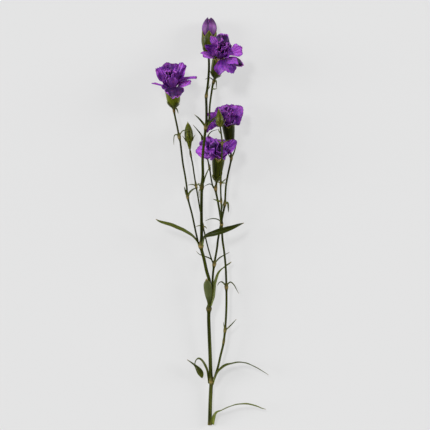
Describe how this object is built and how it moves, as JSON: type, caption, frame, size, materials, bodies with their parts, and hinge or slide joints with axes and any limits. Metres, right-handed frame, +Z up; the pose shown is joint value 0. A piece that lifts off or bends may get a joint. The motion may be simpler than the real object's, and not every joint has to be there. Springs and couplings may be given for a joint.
{
  "type": "mini carnation stem",
  "caption": "Cut spray of small violet carnations with open blooms, buds and narrow grey-green leaves on thin jointed stalks, lying flat.",
  "frame": {"origin": "centre of the bounding box's underside, on the surface that the stem lies on", "axes": "+Y along the stem from its cut foot to its top bud, +X to the right seen from above, +Z up"},
  "size_m": [0.1237, 0.4285, 0.045],
  "materials": {
    "stem": "green stalk with a soft waxy sheen, paler and swollen at its joints",
    "leaf": "grey-green narrow blade, matt and waxy",
    "calyx": "dark green tube with fine lengthwise lines, satin",
    "bud": "smooth closed green bud, satin",
    "petal": "violet petal with a fringed edge and a paler claw, soft and matt",
    "bud_petal": "furled mauve petal, soft and matt"
  },
  "bodies": {
    "root": {"main_stem": "stem", "lower_bloom_stalk": "stem", "upper_right_bloom_stalk": "stem", "left_bloom_stalk": "stem", "left_bud_stalk": "stem", "right_bud_stalk": "stem", "top_bloom_stalk": "stem", "side_shoot": "stem", "cut_leaf": "leaf", "lower_left_leaf": "leaf", "lower_right_leaf": "leaf", "short_leaf": "leaf", "middle_right_leaf": "leaf", "upper_left_leaf": "leaf", "upper_right_leaf": "leaf", "left_bloom_calyx": "calyx", "left_bloom_petals": "petal", "top_bloom_calyx": "calyx", "top_bloom_petals": "petal", "upper_right_bloom_calyx": "calyx", "upper_right_bloom_petals": "petal", "lower_bloom_calyx": "calyx", "lower_bloom_petals": "petal", "top_bud_calyx": "calyx", "top_bud_petals": "bud_petal", "left_bud": "bud", "right_bud": "bud"}
  },
  "joints": []
}
